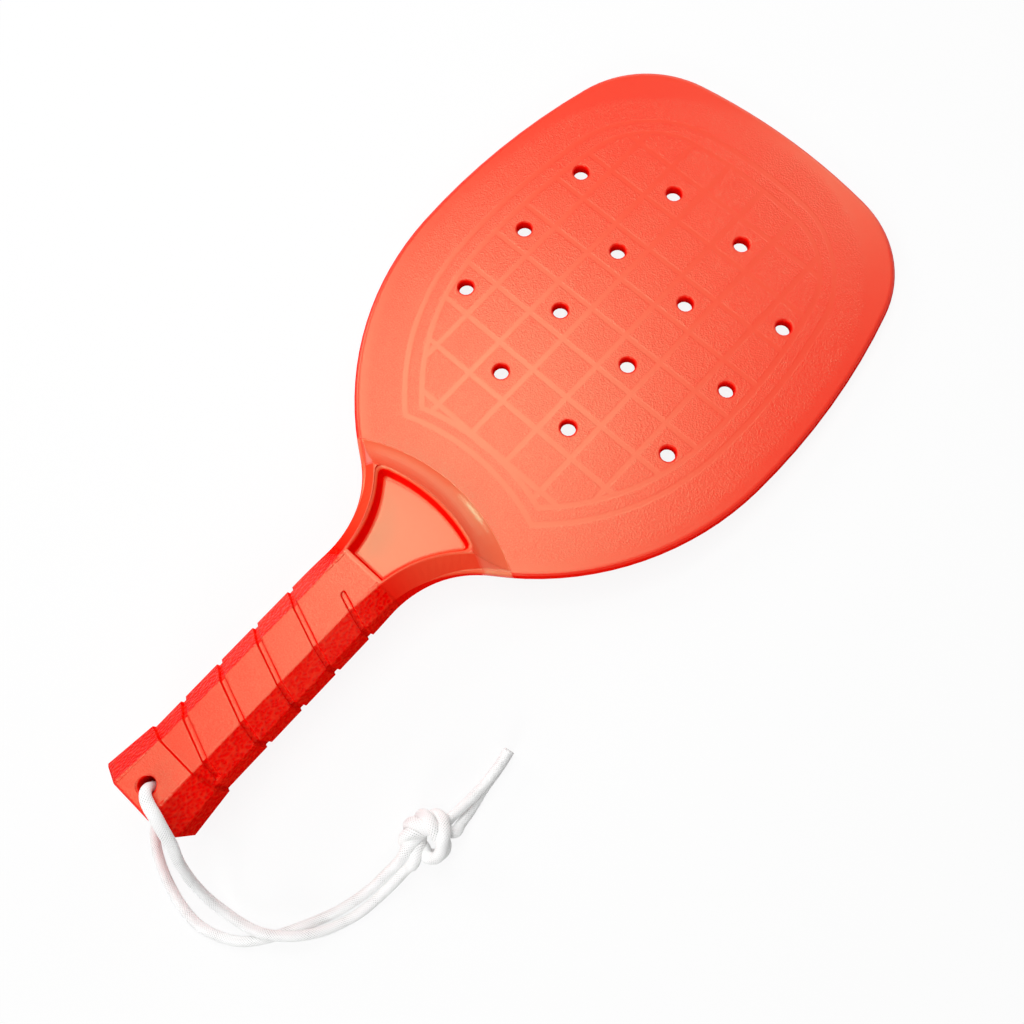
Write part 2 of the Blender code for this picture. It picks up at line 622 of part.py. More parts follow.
def seat_empty():
    """Tilts the moulding so that its tip touches the table and its butt lies on the cord."""
    _, _, _, butt_top = section(BUTT_END_CHAMFER)
    heel = Vector((BUTT_END_CHAMFER, -butt_top))
    toe = Vector((OVERALL_LENGTH - EDGE_ROUND_REACH, -BLADE_HALF))
    lift = CORD_ABOVE_TABLE + CORD_DIAMETER + TOUCHING_GAP
    apart = toe - heel
    tilt = math.asin(lift / apart.length) + math.atan2(apart.y, apart.x)
    empty = bpy.data.objects.new("table_pose", None)
    bpy.context.scene.collection.objects.link(empty)
    empty.rotation_euler = (-tilt, 0.0, 0.0)
    height = toe.x * math.sin(tilt) - toe.y * math.cos(tilt)
    tip_y = OVERALL_LENGTH * math.cos(tilt)
    _, _, _, end_top = section(0.0)
    butt_y = -end_top * math.sin(tilt)
    empty.location = (0.0, -(tip_y + butt_y) / 2, height)
    return empty


def held_route(pose):
    """The cord's way from under the butt, up through the lanyard hole and over the butt's front."""
    _, _, _, mouth = section(LANYARD_HOLE_FROM_BUTT)
    low = pose @ Vector((0.0, LANYARD_HOLE_FROM_BUTT, -mouth))
    high = pose @ Vector((0.0, LANYARD_HOLE_FROM_BUTT, mouth))
    lean = (LANYARD_HOLE_DIAMETER - CORD_DIAMETER) / 2 - 2 * TOUCHING_GAP
    up = Vector((0.0, 0.0, 1.0))
    back = Vector((0.0, low.y, CORD_ABOVE_TABLE + CORD_DIAMETER / 2))
    under = [*UNDER_HOLE_ROUTE, (-lean, HOLE_WAY_IN_RISE)]
    over = [(lean, -HOLE_WAY_OUT_DROP), *OUT_OF_HOLE_ROUTE]
    route = [back + Vector((0.0, along, rise)) for along, rise in under]
    route.append((low + high) / 2 + HEADING_OVER_BUTT * lean / 2 - Vector((0.0, lean / 2, 0.0)))
    route += [high + HEADING_OVER_BUTT * along + up * rise for along, rise in over]
    return route + [Vector(point) for point in OVER_BUTT_ROUTE]


def knot_twist(turn):
    """How far the strands have twisted about their bundle after a turn of the wrap."""
    quick = (KNOT_TWIST - KNOT_SLOW_TWIST) / (KNOT_WRAP_SWEEP - KNOT_SLOW_SWEEP)
    slow_start = (KNOT_WRAP_SWEEP - KNOT_SLOW_SWEEP) / 2
    slow = min(max(turn - slow_start, 0.0), KNOT_SLOW_SWEEP)
    return quick * (turn - slow) + KNOT_SLOW_TWIST * slow / KNOT_SLOW_SWEEP


def knot_route(side):
    """A strand of the doubled overhand knot, on the left (1) or right (-1) where it goes in.

    Both strands wrap one and a half turns about an upright axis, tilted, while they twist
    about the bundle they make together, which is what an overhand knot drawn tight does.
    """
    quick = (KNOT_TWIST - KNOT_SLOW_TWIST) / (KNOT_WRAP_SWEEP - KNOT_SLOW_SWEEP)
    start = side * KNOT_STRAND_PHASE / quick
    local = []
    for i in range(KNOT_STATIONS + 1):
        turn = start + KNOT_WRAP_SWEEP * i / KNOT_STATIONS
        twist = math.pi / 2 + knot_twist(turn) - side * KNOT_STRAND_PHASE
        out = KNOT_WRAP_RADIUS + KNOT_SWING * math.cos(twist)
        rise = KNOT_RISE * math.sin(twist)
        along, left = -out * math.cos(turn), out * math.sin(turn)
        local.append(Vector((
            along * math.cos(KNOT_TILT) - rise * math.sin(KNOT_TILT), left,
            along * math.sin(KNOT_TILT) + rise * math.cos(KNOT_TILT),
        )))
    way_in, way_out = local[0], local[-1]
    for mouth, lead in ((way_in, -KNOT_LEAD), (way_out, KNOT_LEAD)):
        mouth.x += lead
        mouth.y *= KNOT_MOUTH_SHARE
    local = [way_in, *local[2:-2], way_out]
    turned = Matrix.Rotation(KNOT_HEADING, 3, "Z")
    return [KNOT_PLACE + turned @ point for point in local]


def smooth_curve(route, steps=12):
    """Smooth curve through the points of a route, with that many steps from each to the next."""
    lengths = [(b - a).length for a, b in zip(route, route[1:])]
    slopes = [(b - a) / length for a, b, length in zip(route, route[1:], lengths)]
    headings = [slopes[0]]
    for k in range(1, len(route) - 1):
        share = lengths[k - 1] / (lengths[k - 1] + lengths[k])
        headings.append(slopes[k - 1] * (1 - share) + slopes[k] * share)
    headings.append(slopes[-1])
    curve = []
    for k, length in enumerate(lengths):
        for i in range(steps):
            t = i / steps
            ease = t * t * (3 - 2 * t)
            leave, arrive = t * (1 - t) ** 2 * length, t * t * (t - 1) * length
            curve.append(route[k].lerp(route[k + 1], ease) + leave * headings[k] + arrive * headings[k + 1])
    return curve + [route[-1]]


def stretch(curve, distances, start, end, spacing):
    """Evenly spaced points of a curve between two distances along it, with a short run at each end.

    The short runs turn the tube's end faces square to the curve.
    """
    count = round((end - start) / spacing) + 1
    stops = np.linspace(start + END_RUN, end - END_RUN, count)
    stops = [start, *stops, end]
    coordinates = [np.interp(stops, distances, [point[axis] for point in curve]) for axis in range(3)]
    return [Vector(point) for point in zip(*coordinates)]


def tube(name, points, material, squeezed=False):
    """Closed tube along points, thinner inside the knot."""
    data = bpy.data.curves.new(name, "CURVE")
    data.dimensions = "3D"
    data.bevel_depth = CORD_DIAMETER / 2
    data.bevel_resolution = 2
    data.use_fill_caps = True
    data.materials.append(material)
    spline = data.splines.new("POLY")
    spline.points.add(len(points) - 1)
    for i, point in enumerate(points):
        spline.points[i].co = (*point, 1.0)
        if squeezed:
            to_end = min((point - points[0]).length, (point - points[-1]).length)
            share = smooth(to_end, 0.0, KNOT_SQUEEZE_LENGTH)
            spline.points[i].radius = 1.0 + share * (KNOT_CORD_DIAMETER / CORD_DIAMETER - 1.0)
    made = bpy.data.objects.new(name, data)
    bpy.context.scene.collection.objects.link(made)


def wrist_cord(pose, material):
    """One cord from cut end to cut end, in pieces that meet face to face."""
    lower_tail = [Vector(point) for point in reversed(LOWER_TAIL_ROUTE)]
    back_strand = [Vector(point) for point in reversed(BACK_STRAND_ROUTE)]
    front_strand = [Vector(point) for point in FRONT_STRAND_ROUTE]
    upper_tail = [Vector(point) for point in UPPER_TAIL_ROUTE]
    routes = [
        lower_tail, list(reversed(knot_route(1))), back_strand, held_route(pose),
        front_strand, knot_route(-1), upper_tail,
    ]
    steps = 12
    curve = smooth_curve([point for route in routes for point in route], steps)
    runs = [(b - a).length for a, b in zip(curve, curve[1:])]
    distances = np.concatenate(([0.0], np.cumsum(runs)))
    first = np.cumsum([0] + [len(route) for route in routes])
    joints = [
        0, first[1] - 1, first[2], first[3] - 1, first[4], first[5] - 1, first[6], first[7] - 1,
    ]
    places = [distances[k * steps] for k in joints]
    half_gap = TOUCHING_GAP / 2
    names = [
        "cord_lower_tail", "cord_knot_back_strand", "cord_back_strand", "cord_in_lanyard_hole",
        "cord_front_strand", "cord_knot_front_strand", "cord_upper_tail",
    ]
    knot = []
    for name, start, end in zip(names, places, places[1:]):
        in_knot = "knot" in name
        spacing = STRAND_SPACING
        if in_knot:
            spacing = KNOT_SPACING
        if name == "cord_in_lanyard_hole":
            spacing = HELD_SPACING
        start += half_gap if start > 0 else 0.0
        end -= half_gap if end < places[-1] else 0.0
        points = stretch(curve, distances, start, end, spacing)
        tube(name, points, material, in_knot)
        if in_knot:
            knot.append(points)
        print(name, round((end - start) * 1000, 1), "mm long")
    print("least gap in the knot", round(least_gap(*knot) * 1000, 2), "mm")


def least_gap(one, other):
    """Least gap between the tubes of the knot, and between parts of one that are well apart along it."""
    least = min((a - b).length for a in one for b in other)
    skip = 4
    for points in (one, other):
        for i, a in enumerate(points):
            for b in points[i + skip:]:
                least = min(least, (a - b).length)
    return least - KNOT_CORD_DIAMETER


def main():
    clear_scene()
    plastic = principled("orange_red_plastic", (0.80, 0.045, 0.018), 0.42)
    braid = principled("white_braided_cord", (0.86, 0.86, 0.84), 0.85)
    body = moulding_body(plastic)
    cutters = [cove_cutter(), recess_cutter(), air_hole_cutter(), lanyard_cutter(), groove_cutter()]
    for cutter in cutters:
        cut(body, cutter)
    seat = seat_empty()
    for thing in [body, *cutters]:
        thing.parent = seat
    body.data.shade_smooth()
    body.data.set_sharp_from_angle(angle=math.radians(30))
    bpy.context.view_layer.update()
    wrist_cord(seat.matrix_world, braid)


main()
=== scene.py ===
"""Looks of a paddleball paddle: textured orange-red plastic and a white braided wrist cord.

Lengths are metres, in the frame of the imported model, which isn't moved or resized.
"""

import math

import bpy
import numpy as np
from mathutils import Matrix, Vector


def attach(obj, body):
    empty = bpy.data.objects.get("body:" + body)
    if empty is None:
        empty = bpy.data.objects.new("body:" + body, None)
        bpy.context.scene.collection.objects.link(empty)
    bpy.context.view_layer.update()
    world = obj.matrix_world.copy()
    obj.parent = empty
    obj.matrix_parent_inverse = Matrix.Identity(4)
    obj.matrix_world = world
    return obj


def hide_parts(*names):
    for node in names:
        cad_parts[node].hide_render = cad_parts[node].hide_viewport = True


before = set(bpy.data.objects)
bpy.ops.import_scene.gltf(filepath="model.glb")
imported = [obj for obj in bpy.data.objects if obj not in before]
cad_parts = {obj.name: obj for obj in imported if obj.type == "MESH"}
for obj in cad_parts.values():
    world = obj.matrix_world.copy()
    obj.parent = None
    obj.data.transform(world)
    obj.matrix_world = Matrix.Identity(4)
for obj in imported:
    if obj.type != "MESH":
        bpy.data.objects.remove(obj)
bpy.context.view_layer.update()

# Camera, fitted to the photograph
CAMERA_PLACE = Vector((0.11663, -0.06736, 0.43865))
CAMERA_TURN = (12.988, 4.360, 42.346)
CAMERA_LENS = 35.615
CAMERA_SENSOR = 36.0
CAMERA_NEAREST = 0.01

# How the moulding lies: its middle plane is tilted about the x axis
TABLE_TILT = -3.2317
MOULDING_TILT = Matrix.Rotation(math.radians(TABLE_TILT), 3, "X")
BUTT_END = Vector((0.0, -0.20340, 0.02583))
OVERALL_LENGTH = 0.4086
HOLE_PITCH = 0.0400
HOLE_FIELD_BELOW_TIP = 0.1380

# Wrist cord
CORD_DIAMETER = 0.0042
KNOT_CORD_DIAMETER = 0.0050
KNOT_SQUEEZE_LENGTH = 0.0035
KNOT_WRAP_RADIUS = 0.0083
KNOT_SWING = 0.0029
KNOT_RISE = 0.0048
KNOT_TILT = math.radians(23.0)
KNOT_WRAP_SWEEP = math.radians(540.0)
KNOT_TWIST = math.radians(900.0)
KNOT_SLOW_SWEEP = math.radians(118.0)
KNOT_SLOW_TWIST = math.radians(58.0)
KNOT_QUICK_RATE = (KNOT_TWIST - KNOT_SLOW_TWIST) / (KNOT_WRAP_SWEEP - KNOT_SLOW_SWEEP)
KNOT_STRAND_PHASE = math.radians(45.5)
KNOT_STATIONS = 36
KNOT_LEAD = 0.0018
KNOT_MOUTH_SHARE = 0.86
KNOT_PLACE = Vector((0.0936, -0.1401, 0.0094))
KNOT_HEADING = math.radians(79.0)

# Its route, as in the CAD
HELD_ROUTE = [
    (0.00000, -0.20357, 0.00220), (0.00000, -0.20057, 0.00230), (0.00000, -0.19847, 0.00330),
    (0.00000, -0.19727, 0.00540), (0.00000, -0.19707, 0.00820), (0.00039, -0.19568, 0.02536),
    (0.00078, -0.19430, 0.04285), (0.00104, -0.19444, 0.04565), (0.00200, -0.19498, 0.04805),
    (0.00391, -0.19606, 0.04925), (0.00670, -0.19710, 0.04950), (0.01160, -0.19840, 0.04900),
    (0.01670, -0.20100, 0.04560),
]
FRONT_STRAND_ROUTE = [
    (0.0214, -0.2040, 0.0405), (0.0260, -0.2087, 0.0330), (0.0304, -0.2129, 0.0245),
    (0.0353, -0.2163, 0.0165), (0.0415, -0.2184, 0.0100), (0.0485, -0.2188, 0.0058),
    (0.0567, -0.2178, 0.0041), (0.0637, -0.2154, 0.0051), (0.0699, -0.2116, 0.0068),
    (0.0751, -0.2074, 0.0070), (0.0794, -0.2032, 0.0063), (0.0826, -0.1993, 0.0050),
    (0.0857, -0.1945, 0.0032), (0.0886, -0.1880, 0.0022), (0.0907, -0.1819, 0.0022),
    (0.0918, -0.1759, 0.0026), (0.0926, -0.1696, 0.0037), (0.0933, -0.1621, 0.0060),
    (0.0938, -0.1536, 0.0094),
]
BACK_STRAND_ROUTE = [
    (0.0003, -0.2076, 0.0022), (0.0008, -0.2126, 0.0022), (0.0033, -0.2178, 0.0022),
    (0.0086, -0.2221, 0.0022), (0.0149, -0.2254, 0.0022), (0.0208, -0.2277, 0.0022),
    (0.0271, -0.2295, 0.0022), (0.0338, -0.2308, 0.0022), (0.0404, -0.2313, 0.0022),
    (0.0467, -0.2307, 0.0022), (0.0529, -0.2287, 0.0022), (0.0588, -0.2257, 0.0022),
    (0.0631, -0.2225, 0.0022), (0.0668, -0.2183, 0.0022), (0.0702, -0.2136, 0.0022),
    (0.0735, -0.2078, 0.0022), (0.0764, -0.2026, 0.0022), (0.0790, -0.1975, 0.0022),
    (0.0813, -0.1927, 0.0022), (0.0836, -0.1871, 0.0022), (0.0855, -0.1812, 0.0022),
    (0.0870, -0.1749, 0.0027), (0.0880, -0.1686, 0.0039), (0.0886, -0.1616, 0.0063),
    (0.0891, -0.1531, 0.0096),
]
LOWER_TAIL_ROUTE = [
    (0.0979, -0.1270, 0.0065), (0.0973, -0.1220, 0.0043), (0.0963, -0.1166, 0.0028),
    (0.0951, -0.1101, 0.0022), (0.0944, -0.1026, 0.0022), (0.0936, -0.0966, 0.0022),
    (0.0927, -0.0919, 0.0022),
]
UPPER_TAIL_ROUTE = [
    (0.0934, -0.1264, 0.0085), (0.0938, -0.1216, 0.0085), (0.0942, -0.1161, 0.0077),
    (0.0943, -0.1101, 0.0069), (0.0940, -0.1026, 0.0067), (0.0934, -0.0966, 0.0067),
    (0.0925, -0.0922, 0.0067),
]
CURVE_STEPS = 12

# Where the cord is pressed flat, by its distance from where it leaves the butt, and how much
PRESS_STARTS_BEFORE = 0.030
PRESS_FULL_BEFORE = 0.018
PRESS_ENDS_AFTER = 0.016
PRESSED_LOWER = 0.16
PRESSED_WIDER = 0.26

# Braid of the cord: twelve yarns each way, one over and one under
BRAID_YARNS = 12
BRAID_CELL_LENGTH = 0.0011
BRAID_YARN_RISE = 0.00016
BRAID_WEAVE = 0.00006
RING_POINTS = 48
RING_SPACING = 0.00028
LEAST_CROSSING = 0.1
LEAST_LENGTH = 0.01

# The blade's outline in hole pitches from the middle of the hole field. A centre is below it,
# above it, or beyond the middle line on the arc's far side.
TIP_CENTRE_BELOW = 3.55
TIP_RADIUS = 7.0
SIDE_CENTRE_BEYOND = 5.444
SIDE_CENTRE_ABOVE = 0.389
SIDE_RADIUS = 7.94
LOWER_CENTRE_BEYOND = 0.922
LOWER_CENTRE_ABOVE = 0.0726
LOWER_RADIUS = 3.4075
CORNER_RADIUS = 1.31
LOWER_ARC_TOP = (-0.17, -0.16)

# Neck and handle in hole pitches. A pair is where a change starts and ends.
HANDLE_TOP = (-3.66, -3.61)
FACETS_START = (0.22, 0.235)
COVE_CENTRE_BELOW = 4.51
COVE_START = (1.92, 1.98)
COVE_END = (2.21, 2.23)
NECK_TOP = (-2.0, -1.8)
# Where the painted highlight on the neck's slopes starts
PAINTED_HIGHLIGHT_START = (-3.9, -2.7)

# Lines on the blade in hole pitches
LINE_EDGE = (0.020, 0.042)
OUTER_LINE_INSET = 0.575
OUTER_LINE_ARC_RADIUS = 2.61
INNER_LINE_INSET = 0.765
INNER_LINE_ABOVE_OUTER = 0.15
LATTICE_PITCH = 0.5
LATTICE_SHIFT = 0.25
LATTICE_LENGTHENED = 0.991
LATTICE_EDGE = (0.0, 0.01)
RIM = (0.06, 0.24)

# Texture of the plastic: the scales count features in a hole pitch
STIPPLE_SCALE = 66.0
PIT_SCALE = 46.0
GRAIN_SCALE = 28.0
FINE_SCALE = 60.0
MOTTLE_SCALE = 8.0
WOBBLE_SCALE = 3.0
TEXTURE_HEIGHT = 0.00016
CELL_SMOOTHNESS = 0.6
EDGE_SOFTNESS = 0.0010
EDGE_SAMPLES = 6

# How squarely a face looks up, where gloss starts and is full, and where the painted highlight on the
# neck's slopes lies
GLOSS_FACING = (0.64, 0.97)
PAINTED_HIGHLIGHT_FROM = (0.35, 0.60)
PAINTED_HIGHLIGHT_TO = (0.95, 0.99)

DEEP_RED = (0.945, 0.0, 0.0)
PALE_RED = (0.96, 0.12, 0.045)
REFLECTED_TINT = (0.05, 0.95, 0.53, 1.0)
PLASTIC_IOR = 1.57
# Grey painted between the yarns as shade
PAINTED_GAP_SHADE = (0.40, 0.40, 0.39)
YARN_WHITE = (0.97, 0.97, 0.965)
YARN_HEIGHTS = (0.20, 0.78)
FIBRE_SCALE = 5200.0
FIBRE_HEIGHT = 0.00006

# Table and room
TABLE_REACH = 3.0
TABLE_GAP = 0.0003
TABLE_PALE = (0.80, 0.80, 0.80, 1.0)
TABLE_SEEN_GLOW = 1.01
TABLE_SEEN_SHARE = 0.88
ROOM_LIGHT = 0.08
LEFT_AND_RIGHT_TARGET = (0.0, -0.05, 0.0)
FAR_TARGET = (0.0, -0.03, 0.0)


def make_camera():
    data = bpy.data.cameras.new("photo_camera")
    data.lens = CAMERA_LENS
    data.sensor_width = CAMERA_SENSOR
    data.clip_start = CAMERA_NEAREST
    camera = bpy.data.objects.new("photo_camera", data)
    bpy.context.scene.collection.objects.link(camera)
    camera.location = CAMERA_PLACE
    camera.rotation_euler = [math.radians(angle) for angle in CAMERA_TURN]
    bpy.context.scene.camera = camera


def knot_twist(turn):
    """How far the strands have twisted about their bundle after a turn of the wrap."""
    slow_start = (KNOT_WRAP_SWEEP - KNOT_SLOW_SWEEP) / 2
    slow = min(max(turn - slow_start, 0.0), KNOT_SLOW_SWEEP)
    return KNOT_QUICK_RATE * (turn - slow) + KNOT_SLOW_TWIST * slow / KNOT_SLOW_SWEEP


def knot_route(side):
    """A strand of the doubled overhand knot, on the left (1) or right (-1) where it goes in."""
    start = side * KNOT_STRAND_PHASE / KNOT_QUICK_RATE
    local = []
    for i in range(KNOT_STATIONS + 1):
        turn = start + KNOT_WRAP_SWEEP * i / KNOT_STATIONS
        twist = math.pi / 2 + knot_twist(turn) - side * KNOT_STRAND_PHASE
        out = KNOT_WRAP_RADIUS + KNOT_SWING * math.cos(twist)
        rise = KNOT_RISE * math.sin(twist)
        along, left = -out * math.cos(turn), out * math.sin(turn)
        local.append(Vector((
            along * math.cos(KNOT_TILT) - rise * math.sin(KNOT_TILT), left,
            along * math.sin(KNOT_TILT) + rise * math.cos(KNOT_TILT),
        )))
    way_in, way_out = local[0], local[-1]
    for mouth, lead in ((way_in, -KNOT_LEAD), (way_out, KNOT_LEAD)):
        mouth.x += lead
        mouth.y *= KNOT_MOUTH_SHARE
    local = [way_in, *local[2:-2], way_out]
    turned = Matrix.Rotation(KNOT_HEADING, 3, "Z")
    return [KNOT_PLACE + turned @ point for point in local]


def smooth_curve(route):
    """Smooth curve through the points of a route, with CURVE_STEPS steps from each to the next."""
    lengths = [(b - a).length for a, b in zip(route, route[1:])]
    slopes = [(b - a) / length for a, b, length in zip(route, route[1:], lengths)]
    headings = [slopes[0]]
    for k in range(1, len(route) - 1):
        share = lengths[k - 1] / (lengths[k - 1] + lengths[k])
        headings.append(slopes[k - 1] * (1 - share) + slopes[k] * share)
    headings.append(slopes[-1])
    curve = []
    for k, length in enumerate(lengths):
        for i in range(CURVE_STEPS):
            t = i / CURVE_STEPS
            ease = t * t * (3 - 2 * t)
            leave, arrive = t * (1 - t) ** 2 * length, t * t * (t - 1) * length
            straight = route[k].lerp(route[k + 1], ease)
            curve.append(straight + leave * headings[k] + arrive * headings[k + 1])
    return curve + [route[-1]]


def fade(values, start, end):
    """0 up to start, 1 from end, with a smooth change between."""
    share = np.clip((values - start) / (end - start), 0.0, 1.0)
    return share * share * (3 - 2 * share)


def ridge(offset):
    """Height of a round yarn, by the distance from its middle in yarn widths."""
    return np.sqrt(np.clip(1.0 - (2.0 * offset) ** 2, 0.0, 1.0))


def braid_height(around, along):
    """Height of the braid over its core, by yarns counted round the cord and cells along it."""
    one, other = around + along, around - along
    of_one, of_other = np.round(one), np.round(other)
    over = np.cos(math.pi * (other - of_one))
    under = np.cos(math.pi * (one - of_other))
    height_one = BRAID_YARN_RISE * ridge(one - of_one) + BRAID_WEAVE * over
    height_other = BRAID_YARN_RISE * ridge(other - of_other) - BRAID_WEAVE * under
    return np.maximum(height_one, height_other)


def carried_frames(points):
    """Headings along a line, and two cross directions that are carried along it without twist."""
    ahead = np.gradient(points, axis=0)
    ahead /= np.linalg.norm(ahead, axis=1, keepdims=True)
    start = np.cross(ahead[0], (0.0, 0.0, 1.0))
    if np.linalg.norm(start) < LEAST_CROSSING:
        start = np.cross(ahead[0], (0.0, 1.0, 0.0))
    aside = np.zeros_like(ahead)
    aside[0] = start / np.linalg.norm(start)
    for i in range(1, len(points)):
        step = aside[i - 1] - ahead[i] * np.dot(aside[i - 1], ahead[i])
        aside[i] = step / np.linalg.norm(step)
    return ahead, aside, np.cross(ahead, aside)


def tube_faces(rings):
    """Quads between rings of points, and a cap on each end ring."""
    faces = []
    for k in range(rings - 1):
        a, b = k * RING_POINTS, (k + 1) * RING_POINTS
        for i in range(RING_POINTS):
            j = (i + 1) % RING_POINTS
            faces.append((a + i, a + j, b + j, b + i))
    end_ring = (rings - 1) * RING_POINTS
    faces.append(tuple(reversed(range(RING_POINTS))))
    faces.append(tuple(range(end_ring, end_ring + RING_POINTS)))
    return faces


class Cord:
    """The whole cord's line, from the lower tail's cut end to the upper tail's."""

    def __init__(self):
        lower_tail = [Vector(point) for point in reversed(LOWER_TAIL_ROUTE)]
        back_strand = [Vector(point) for point in reversed(BACK_STRAND_ROUTE)]
        held = [Vector(point) for point in HELD_ROUTE]
        front_strand = [Vector(point) for point in FRONT_STRAND_ROUTE]
        upper_tail = [Vector(point) for point in UPPER_TAIL_ROUTE]
        routes = [
            lower_tail, list(reversed(knot_route(1))), back_strand, held,
            front_strand, knot_route(-1), upper_tail,
        ]
        curve = np.array(smooth_curve([point for route in routes for point in route]))
        runs = np.linalg.norm(np.diff(curve, axis=0), axis=1)
        distances = np.concatenate(([0.0], np.cumsum(runs)))
        first = np.cumsum([0] + [len(route) for route in routes])
        joints = [
            0, first[1] - 1, first[2], first[3] - 1, first[4], first[5] - 1, first[6], first[7] - 1,
        ]
        self.joints = [distances[k * CURVE_STEPS] for k in joints]
        rings = round(distances[-1] / RING_SPACING) + 1
        self.distances = np.linspace(0.0, distances[-1], rings)
        self.points = np.stack([np.interp(self.distances, distances, curve[:, k]) for k in range(3)], 1)
        self.ahead, self.aside, self.across = carried_frames(self.points)
        self.radius, self.flatness = self.sections()

    def sections(self):
        """Radius along the cord, and how much it is pressed flat where it goes over the butt."""
        radius = np.full(len(self.distances), CORD_DIAMETER / 2)
        for start, end in (self.joints[1:3], self.joints[5:7]):
            squeeze = fade(self.distances, start, start + KNOT_SQUEEZE_LENGTH)
            squeeze *= 1 - fade(self.distances, end - KNOT_SQUEEZE_LENGTH, end)
            radius += squeeze * (KNOT_CORD_DIAMETER - CORD_DIAMETER) / 2
        leaves_butt = self.joints[4]
        flatness = fade(self.distances, leaves_butt - PRESS_STARTS_BEFORE, leaves_butt - PRESS_FULL_BEFORE)
        flatness *= 1 - fade(self.distances, leaves_butt, leaves_butt + PRESS_ENDS_AFTER)
        return radius, flatness

    def outward(self, keep):
        """Directions from the line to the points of its rings, lower and wider where it is pressed."""
        ahead = self.ahead[keep]
        angles = 2 * math.pi * (np.arange(RING_POINTS) / RING_POINTS)
        outward = (np.cos(angles)[None, :, None] * self.aside[keep][:, None, :]
                   + np.sin(angles)[None, :, None] * self.across[keep][:, None, :])
        up = np.array((0.0, 0.0, 1.0)) - ahead * ahead[:, 2:]
        up /= np.maximum(np.linalg.norm(up, axis=1, keepdims=True), LEAST_LENGTH)
        level = np.cross(ahead, up)
        pressed = self.flatness[keep][:, None, None]
        share_up = np.sum(outward * up[:, None, :], axis=2, keepdims=True)
        share_level = np.sum(outward * level[:, None, :], axis=2, keepdims=True)
        lowered = PRESSED_LOWER * pressed * share_up * up[:, None, :]
        widened = PRESSED_WIDER * pressed * share_level * level[:, None, :]
        return outward - lowered + widened

    def piece(self, name, number, material):
        """Braided tube along one stretch of the cord, and the line in its middle."""
        first, last = np.searchsorted(self.distances, self.joints[number:number + 2])
        keep = slice(first, last + 1)
        points, distances = self.points[keep], self.distances[keep]
        turns = np.arange(RING_POINTS) / RING_POINTS
        height = braid_height(BRAID_YARNS * turns[None, :], distances[:, None] / BRAID_CELL_LENGTH)
        core = self.radius[keep] - BRAID_YARN_RISE
        reach = (core[:, None] + height)[:, :, None]
        vertices = (points[:, None, :] + self.outward(keep) * reach).reshape(-1, 3)
        vertices[:, 2] = np.maximum(vertices[:, 2], 0.0)
        faces = tube_faces(len(points))
        mesh = bpy.data.meshes.new(name)
        mesh.from_pydata(vertices.tolist(), [], faces)
        depth = mesh.attributes.new("yarn_height", "FLOAT", "POINT")
        depth.data.foreach_set("value", (height / (BRAID_YARN_RISE + BRAID_WEAVE)).ravel())
        mesh.polygons.foreach_set("use_smooth", [True] * (len(faces) - 2) + [False] * 2)
        mesh.materials.append(material)
        made = bpy.data.objects.new(name, mesh)
        bpy.context.scene.collection.objects.link(made)
        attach(made, "root")
        return made, points


def new_material(name):
    material = bpy.data.materials.new(name)
    material.use_nodes = True
    tree = material.node_tree
    return material, tree, tree.nodes["Principled BSDF"]


class Field:
    """A number that varies over a surface, built up as Math nodes."""

    def __init__(self, tree, socket):
        self.tree = tree
        self.socket = socket

    def made(self, operation, *others):
        node = self.tree.nodes.new("ShaderNodeMath")
        node.operation = operation
        for k, value in enumerate((self, *others)):
            if isinstance(value, Field):
                self.tree.links.new(value.socket, node.inputs[k])
            else:
                node.inputs[k].default_value = value
        return Field(self.tree, node.outputs[0])

    def __add__(self, other):
        return self.made("ADD", other)

    def __sub__(self, other):
        return self.made("SUBTRACT", other)

    def __mul__(self, other):
        return self.made("MULTIPLY", other)

    def __truediv__(self, other):
        return self.made("DIVIDE", other)

    def over(self, other):
        """The larger of two."""
        return self.made("MAXIMUM", other)

    def under(self, other):
        """The smaller of two."""
        return self.made("MINIMUM", other)

    def size(self):
        return self.made("ABSOLUTE")

    def away(self):
        """1 where this is 0, and 0 where it is 1."""
        return self * -1.0 + 1.0

    def length(self, other):
        return (self * self + other * other).made("SQRT")

    def fade(self, start, end):
        """0 up to start, 1 from end, with a smooth change between."""
        node = self.tree.nodes.new("ShaderNodeMapRange")
        node.interpolation_type = "SMOOTHSTEP"
        self.tree.links.new(self.socket, node.inputs["Value"])
        node.inputs["From Min"].default_value = start
        node.inputs["From Max"].default_value = end
        return Field(self.tree, node.outputs["Result"])


def rounded_meeting(a, b, radius):
    """Distance to where two edges meet, rounded there."""
    a_in, b_in = a + radius, b + radius
    corner = a_in.over(0.0).length(b_in.over(0.0))
    return corner - radius + a_in.over(b_in).under(0.0)


def noise(tree, vector, scale, detail, roughness=0.55):
    node = tree.nodes.new("ShaderNodeTexNoise")
    node.inputs["Scale"].default_value = scale
    node.inputs["Detail"].default_value = detail
    node.inputs["Roughness"].default_value = roughness
    tree.links.new(vector, node.inputs["Vector"])
    return Field(tree, node.outputs["Fac"])


def cells(tree, vector, scale):
    node = tree.nodes.new("ShaderNodeTexVoronoi")
    node.feature = "SMOOTH_F1"
    node.inputs["Scale"].default_value = scale
    node.inputs["Smoothness"].default_value = CELL_SMOOTHNESS
    tree.links.new(vector, node.inputs["Vector"])
    return Field(tree, node.outputs["Distance"])


def mixed_colour(tree, share, low, high):
    node = tree.nodes.new("ShaderNodeMix")
    node.data_type = "RGBA"
    tree.links.new(share.socket, node.inputs["Factor"])
    node.inputs["A"].default_value = (*low, 1.0)
    node.inputs["B"].default_value = (*high, 1.0)
    return node.outputs["Result"]


